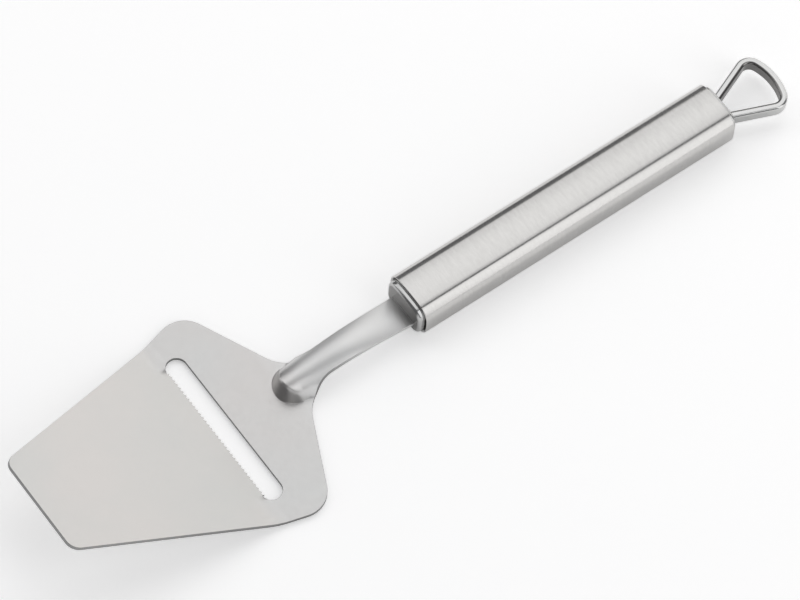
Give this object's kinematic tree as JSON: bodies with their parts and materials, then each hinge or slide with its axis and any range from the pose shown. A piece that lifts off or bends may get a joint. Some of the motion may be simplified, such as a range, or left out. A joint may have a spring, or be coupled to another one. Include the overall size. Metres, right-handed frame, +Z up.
{
  "type": "cheese slicer",
  "caption": "Steel cheese slicer: a bent trowel-shaped blade with a toothed slot, a raised neck, a rounded rectangular tube handle and a hanging loop.",
  "frame": {"origin": "middle of the overall length, on the middle plane, at the height of the lowest point, which is the underside of the handle", "axes": "+X from the handle towards the tip of the blade, +Y to one side, +Z up from the side that lies on a table"},
  "size_m": [0.2668, 0.0734, 0.0272],
  "materials": {
    "blade": "satin",
    "front_cap": "polished stainless steel",
    "handle_tube": "satin, brushed round the tube",
    "rear_cap": "polished stainless steel",
    "hanging_loop": "polished stainless steel"
  },
  "bodies": {
    "root": {"blade": "blade", "front_cap": "front_cap", "handle_tube": "handle_tube", "rear_cap": "rear_cap", "hanging_loop": "hanging_loop"}
  },
  "joints": []
}
